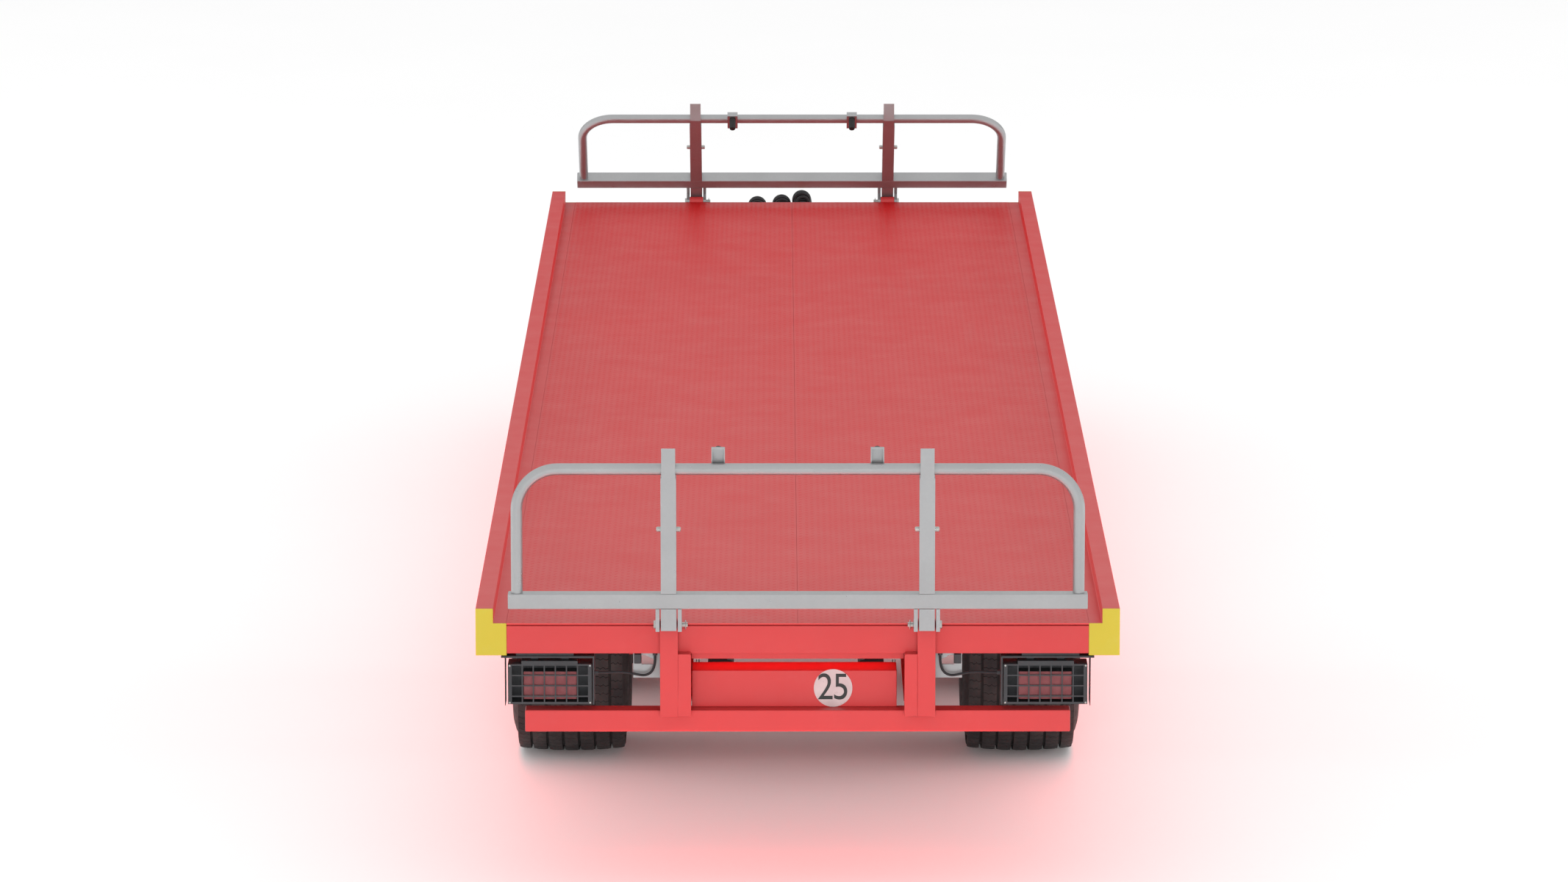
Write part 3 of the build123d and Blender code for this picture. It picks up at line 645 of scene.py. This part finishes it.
for node in ("wiring_plates", "hose_holder", "parking_leg"):
    rounded(node, zinc, 0.0015)
rounded("lamp_brackets", black, 0.0012)
rounded("lamp_housings", black, 0.0012)
paint_node("lamp_guards", black)
paint_node("axle_clamps", zinc_dark)
paint_node("brake_gear", chassis_black)
paint_node("bogie_shaft", oiled_steel)
paint_node("towing_eye", oiled_steel)
paint_node("hose_fittings", brass)
paint_node("cable_glands", black)
paint_node("deck_sheet_left", deck_red)
paint_node("deck_sheet_right", deck_red)
paint_node("speed_disc", white_sheet)


# ---------- deck tears ----------
tear_step = 0.02435
tear_length = 0.028
tear_width = 0.0085
tear_height = 0.0017


def tear_corners(angle):
    """One raised tear: six corners at its foot and a ridge of two at its top."""
    half, wide = tear_length / 2, tear_width / 2
    foot = [(half, 0), (half * 0.45, wide), (-half * 0.45, wide), (-half, 0), (-half * 0.45, -wide),
            (half * 0.45, -wide)]
    sunk = -0.0002
    ridge = [(half * 0.42, 0, tear_height), (-half * 0.42, 0, tear_height)]
    points = [(x, y, sunk) for x, y in foot] + ridge
    cos, sin = math.cos(angle), math.sin(angle)
    return np.array([(x * cos - y * sin, x * sin + y * cos, z) for x, y, z in points])


tear_faces = [(0, 1, 6), (1, 2, 7, 6), (2, 3, 7), (3, 4, 7), (4, 5, 6, 7), (5, 0, 6), (5, 4, 3, 2, 1, 0)]


def deck_tears(side):
    low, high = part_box(f"deck_sheet_{side}")
    margin = tear_length * 0.45
    columns = int((high.x - low.x - 2 * margin) / tear_step) + 1
    rows = int((high.y - low.y - 2 * margin) / tear_step) + 1
    tilted = [tear_corners(math.radians(45)), tear_corners(math.radians(-45))]
    left = (low.x + high.x - (columns - 1) * tear_step) / 2
    near = (low.y + high.y - (rows - 1) * tear_step) / 2
    vertices, faces = [], []
    for column in range(columns):
        for row in range(column % 2, rows, 2):
            centre = np.array((left + column * tear_step, near + row * tear_step, high.z))
            base = len(vertices)
            vertices.extend(tilted[column % 2] + centre)
            faces.extend(tuple(base + index for index in face) for face in tear_faces)
    from_arrays(f"deck_tears_{side}", vertices, faces, deck_red, "chassis", 80)


for side in ("left", "right"):
    deck_tears(side)


def deck_seam():
    """Rippled weld bead that closes the gap between the two deck sheets, sunk just below their tops."""
    left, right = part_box("deck_sheet_left")[1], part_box("deck_sheet_right")[0]
    ripple = 0.02
    edge_drop, root_drop = -0.0018, -0.0045
    count = round((front_end - rear_end) / ripple)
    vertices, faces = [], []
    for index in range(count + 1):
        y = rear_end + (front_end - rear_end) * index / count
        crest = -0.0010 if index % 2 else -0.0014
        for x, drop in ((left.x, edge_drop), ((left.x + right.x) / 2, crest), (right.x, edge_drop),
                        (0, root_drop)):
            vertices.append((x, y, deck_z + drop))
    for index in range(count):
        here, there = 4 * index, 4 * index + 4
        for a, b in ((0, 1), (1, 2), (2, 3), (3, 0)):
            faces.append((here + a, here + b, there + b, there + a))
    faces += [(3, 2, 1, 0), (4 * count, 4 * count + 1, 4 * count + 2, 4 * count + 3)]
    from_arrays("deck_seam_bead", vertices, faces, deck_red, "chassis", 80)


deck_seam()


# ---------- tyres and wheels ----------
crown_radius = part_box("tyre_rear_left")[1].z / 2
crown_curve = 1.815
groove_centres = [(index + 0.5) * 0.067 for index in range(-3, 3)]
groove_half = 0.0055
tread_half = 0.221
tread_depth = 0.018
sipes = 76


def crown(x):
    return crown_radius - x * x / (2 * crown_curve)


def tyre_profile():
    """Half section of the carcass from the tread's middle to the bead, as (x, radius)."""
    tread = [(x, crown(x) - tread_depth) for x in (0, 0.06, 0.12, 0.17, 0.205)]
    edge = crown(tread_half)
    shoulder = [(0.212, edge - 0.012), (tread_half, edge - 0.006), (0.2255, edge - 0.015)]
    wall_x, wall_radius = 0.150, 0.340
    bulge_x, bulge_radius = 0.0965, 0.105
    wall = []
    for step in range(9):
        angle = math.radians(58 - 16 * step)
        wall.append((wall_x + bulge_x * math.cos(angle), wall_radius + bulge_radius * math.sin(angle)))
    widest = 0.2475
    ridge = [(widest - 0.001, 0.350), (widest, 0.346), (widest - 0.001, 0.342)]
    outer_wall = [point for point in wall if point[1] > 0.352]
    inner_wall = [point for point in wall if 0.255 < point[1] < 0.340]
    bead = [(0.222, 0.252), (0.212, 0.246), (0.206, 0.2405), (0.1942, 0.238), (0.190, 0.2162),
            (0.150, 0.2162)]
    inner = [(0.150, 0.235), (0.200, 0.275), (0.212, 0.340), (0.196, 0.410), (0, 0.436)]
    return tread + shoulder + outer_wall + ridge + inner_wall + bead + inner


def tread_blocks(vertices, faces):
    """Ribs between the grooves, each cut into blocks by thin zigzag sipes."""
    edges = [-tread_half, *groove_centres, tread_half]
    gap = 0.0022 / crown_radius
    step = 2 * math.pi / sipes
    columns, rows = 6, 3
    for rib, (left, right) in enumerate(zip(edges, edges[1:])):
        low = left if rib == 0 else left + groove_half
        high = right if rib == len(edges) - 2 else right - groove_half
        for index in range(sipes):
            start = (index + (rib % 2) * 0.5) * step
            base = len(vertices)
            for layer, drop in ((0, tread_depth + 0.002), (1, 0.0)):
                for column in range(columns):
                    x = low + (high - low) * column / (columns - 1)
                    edge_drop = 0.0018 if column in (0, columns - 1) else 0.0
                    sway = 0.004 if column % 2 else -0.004
                    zigzag = sway / crown_radius if 0 < column < columns - 1 else 0
                    radius = crown(x) - (drop if layer == 0 else edge_drop)
                    for row in range(rows):
                        angle = start + zigzag + gap / 2 + (step - gap) * row / (rows - 1)
                        vertices.append((x, radius * math.sin(angle), radius * math.cos(angle)))
            size = columns * rows

            def at(layer, column, row):
                return base + layer * size + column * rows + row

            for column in range(columns - 1):
                for row in range(rows - 1):
                    quad = [(column, row), (column + 1, row), (column + 1, row + 1), (column, row + 1)]
                    faces.append([at(1, *corner) for corner in quad])
                    faces.append([at(0, *corner) for corner in reversed(quad)])
                for row, turn in ((0, 1), (rows - 1, -1)):
                    wall = [at(0, column, row), at(0, column + 1, row),
                            at(1, column + 1, row), at(1, column, row)]
                    faces.append(wall[::turn])
            for row in range(rows - 1):
                for column, turn in ((0, -1), (columns - 1, 1)):
                    wall = [at(0, column, row), at(0, column, row + 1),
                            at(1, column, row + 1), at(1, column, row)]
                    faces.append(wall[::turn])


def tyre_arrays():
    """Carcass turned about X, and the tread's blocks on it."""
    half = tyre_profile()
    outline = half + [(-x, r) for x, r in reversed(half[1:-1])]
    segments = 120
    vertices = []
    for x, radius in outline:
        for index in range(segments):
            angle = 2 * math.pi * index / segments
            vertices.append((x, radius * math.sin(angle), radius * math.cos(angle)))
    faces = []
    count = len(outline)
    for ring in range(count):
        here, there = ring * segments, (ring + 1) % count * segments
        for index in range(segments):
            after = (index + 1) % segments
            faces.append((here + index, here + after, there + after, there + index))
    tread_blocks(vertices, faces)
    return np.array(vertices), faces


tyre_vertices, tyre_faces = tyre_arrays()


def island_meshes(node):
    """The separate solids of a CAD node, each as a bmesh, largest first."""
    whole = cleaned(node)
    whole.verts.index_update()
    seen, groups = set(), []
    for vertex in whole.verts:
        if vertex.index in seen:
            continue
        group, queue = [], [vertex]
        seen.add(vertex.index)
        while queue:
            here = queue.pop()
            group.append(here.index)
            for edge in here.link_edges:
                other = edge.other_vert(here)
                if other.index not in seen:
                    seen.add(other.index)
                    queue.append(other)
        groups.append(set(group))
    parts = []
    for group in groups:
        part = whole.copy()
        part.verts.index_update()
        bmesh.ops.delete(part, geom=[v for v in part.verts if v.index not in group], context="VERTS")
        parts.append(part)
    whole.free()
    return sorted(parts, key=lambda part: -sum(face.calc_area() for face in part.faces))


def wheel(end, hand):
    body = node = f"wheel_{end}_{hand}"
    low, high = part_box(f"tyre_{end}_{hand}")
    centre = (low + high) / 2
    tyre = from_arrays(f"tyre_{end}_{hand}_tread", tyre_vertices + np.array(centre), tyre_faces,
                       tyre_rubber, body, 28)
    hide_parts(f"tyre_{end}_{hand}")
    parts = island_meshes(node)
    rim, hub, nuts = parts[0], parts[1], parts[2:]
    studs = bmesh.new()
    for nut in nuts:
        mesh = bpy.data.meshes.new("nut")
        nut.to_mesh(mesh)
        nut.free()
        studs.from_mesh(mesh)
        bpy.data.meshes.remove(mesh)
    pieces = [from_bmesh(f"rim_{end}_{hand}", rim, rim_silver, body, 40),
              from_bmesh(f"hub_{end}_{hand}", hub, chassis_black, body, 40),
              from_bmesh(f"wheel_nuts_{end}_{hand}", studs, zinc_dark, body, 40)]
    for piece in pieces:
        bevelled(piece, 0.0015)
        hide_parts(node)
    outward = 1 if centre.x > 0 else -1
    valve = bmesh.new()
    foot = centre + Vector((outward * 0.10, 0, 0.176))
    stem = [(0, 0.006), (0.03, 0.005), (0.031, 0.0035), (0.042, 0.0035), (0.043, 0.0045), (0.05, 0.0045)]
    lathe(valve, foot, (outward, 0, -0.25), stem, 16)
    from_bmesh(f"valve_{end}_{hand}", valve, brass, body)


for end in ("rear", "front"):
    for hand in ("left", "right"):
        wheel(end, hand)


# ---------- lamps ----------
def lamp(hand, sign):
    """Rear lamp behind its guard: black tray, red lens, two ringed shapes and three pairs of blocks."""
    low = from_rear(0.859, 0.040, -0.3125)
    high = from_rear(1.067, 0.106, -0.2015)

    def mirrored(point):
        return Vector((sign * point[0], point[1], point[2]))

    def box(bm, a, b):
        a, b = mirrored(a), mirrored(b)
        block(bm, [min(p, q) for p, q in zip(a, b)], [max(p, q) for p, q in zip(a, b)])

    tray = bmesh.new()
    box(tray, (low.x, low.y + 0.030, low.z), (high.x, high.y, high.z))
    wall = 0.004
    for a, b in (((low.x, low.y + 0.006, low.z), (high.x, low.y + 0.03, low.z + wall)),
                 ((low.x, low.y + 0.006, high.z - wall), (high.x, low.y + 0.03, high.z)),
                 ((low.x, low.y + 0.006, low.z + wall), (low.x + wall, low.y + 0.03, high.z - wall)),
                 ((high.x - wall, low.y + 0.006, low.z + wall), (high.x, low.y + 0.03, high.z - wall))):
        box(tray, a, b)
    tray = from_bmesh(f"lamp_tray_{hand}", tray, black, "chassis", 30)

    shapes = bmesh.new()
    middle_x = (low.x + high.x) / 2
    front = low.y + 0.0095
    back = front + 0.01
    for inset, thick in ((0.010, 0.008), (0.030, 0.007)):
        x0, x1 = low.x + inset, high.x - inset
        z0, z1 = low.z + inset * 0.6, high.z - inset * 0.6
        side_z0, side_z1 = z0 + thick + 0.001, z1 - thick - 0.001
        box(shapes, (x0, front, z0), (x1, back, z0 + thick))
        box(shapes, (x0, front, z1 - thick), (x1, back, z1))
        box(shapes, (x0, front, side_z0), (x0 + thick, back, side_z1))
        box(shapes, (x1 - thick, front, side_z0), (x1, back, side_z1))
    for offset in (-0.045, 0.0, 0.045):
        x0, x1 = middle_x + offset - 0.016, middle_x + offset + 0.016
        for bottom, top in ((0.060, 0.074), (0.030, 0.052)):
            box(shapes, (x0, front, low.z + bottom), (x1, front + 0.008, low.z + top))
    shapes = from_bmesh(f"lamp_reflectors_{hand}", shapes, reflector, "chassis", 30)
    bevelled(shapes, 0.002)

    lens = bmesh.new()
    gap = 0.0005
    box(lens, (low.x + gap, low.y, low.z + gap), (high.x - gap, low.y + 0.0055, high.z - gap))
    lens = from_bmesh(f"lamp_lens_{hand}", lens, lens_red, "chassis", 30)
    bevelled(lens, 0.003)
    for piece in (tray, shapes, lens):
        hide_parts("lamp_units")

    screws = bmesh.new()
    screw_head = [(0, 0.0042), (0.0012, 0.0042), (0.0024, 0.003), (0.0026, 0.0)]
    for x, z in ((0.8065, -0.318), (1.1195, -0.318), (0.8065, -0.1705), (1.1195, -0.1705)):
        lathe(screws, mirrored(from_rear(x, 0.008, z)), (0, -1, 0), screw_head, 20)
    from_bmesh(f"guard_screws_{hand}", screws, zinc_dark, "chassis")


for hand, sign in (("left", -1), ("right", 1)):
    lamp(hand, sign)


# ---------- small fittings at the rear ----------
def junction_box(hand, sign):
    low, high = from_rear(0.608, 0.038, -0.170), from_rear(0.636, 0.0598, -0.132)
    xs = sorted((sign * low.x, sign * high.x))
    bm = bmesh.new()
    block(bm, (xs[0], low.y, low.z), (xs[1], high.y, high.z))
    obj = from_bmesh(f"junction_box_{hand}", bm, black, "chassis")
    bevelled(obj, 0.003)


for hand, sign in (("left", -1), ("right", 1)):
    junction_box(hand, sign)


def speed_numerals():
    """Plain generic numerals on the speed disc."""
    low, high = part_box("speed_disc")
    centre = (low + high) / 2
    text = bpy.data.curves.new("speed_numerals", "FONT")
    text.body = "25"
    text.size = 0.150
    text.align_x = "CENTER"
    text.align_y = "CENTER"
    text.extrude = 0.0002
    text.space_character = 0.92
    obj = bpy.data.objects.new("speed_numerals_font", text)
    bpy.context.scene.collection.objects.link(obj)
    obj.scale = (0.88, 1, 1)
    obj.rotation_euler = (math.radians(90), 0, 0)
    obj.location = (centre.x, low.y - 0.0003, centre.z)
    bpy.context.view_layer.update()
    mesh = bpy.data.meshes.new_from_object(obj.evaluated_get(bpy.context.evaluated_depsgraph_get()))
    mesh.transform(obj.matrix_world)
    bpy.data.objects.remove(obj)
    add_piece("speed_numerals", mesh, ink, "chassis")


speed_numerals()


# ---------- rack buffers ----------
def buffers(end):
    """Ribbed rubber buffers, in place of the plain CAD cylinders."""
    parts = island_meshes(f"{end}_rack_buffers")
    bm = bmesh.new()
    for part in parts:
        corners = np.array([vertex.co for vertex in part.verts])
        part.free()
        centre = corners.mean(0)
        spread = corners - centre
        across = np.linalg.svd(spread, full_matrices=False)[2]
        along = Vector(across[0])
        reach = spread @ np.array(along)
        # The free end of a buffer points down on the leaning front rack, and ahead on the upright rear one.
        backwards = along.z > 0 if end == "front" else along.y < 0
        if backwards:
            along = -along
            reach = -reach
        start = Vector(centre) + along * reach.min()
        length = reach.max() - reach.min()
        profile = [(0, 0.0158), (0.006, 0.0158), (0.0065, 0.0148)]
        for rib in range(4):
            at = 0.010 + rib * (length - 0.026) / 4
            profile += [(at, 0.0146), (at + 0.002, 0.0158), (at + 0.0085, 0.0158), (at + 0.0105, 0.0146)]
        profile += [(length - 0.008, 0.0156), (length - 0.003, 0.0142), (length - 0.0006, 0.0105),
                    (length - 0.0003, 0.0)]
        lathe(bm, start, along, profile, 36)
    obj = from_bmesh(f"{end}_rack_buffers_ribbed", bm, buffer_rubber, f"{end}_rack", 30)
    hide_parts(f"{end}_rack_buffers")


for end in ("rear", "front"):
    buffers(end)


# ---------- floor ----------
def floor():
    shader = Shader("studio_floor", Roughness=0.6, Specular_IOR_Level=0.3)
    cloudy = shader.spread(shader.noise(0.6, 3), 0.3, 0.7)
    shader.colour(shader.mix(cloudy, (0.945, 0.945, 0.945), (0.955, 0.955, 0.955)))
    mesh = bpy.data.meshes.new("floor")
    half = 160
    corners = [(-half, -half, 0), (half, -half, 0), (half, half, 0), (-half, half, 0)]
    mesh.from_pydata(corners, [], [(0, 1, 2, 3)])
    obj = bpy.data.objects.new("floor", mesh)
    bpy.context.scene.collection.objects.link(obj)
    obj.data.materials.append(shader.material)


floor()
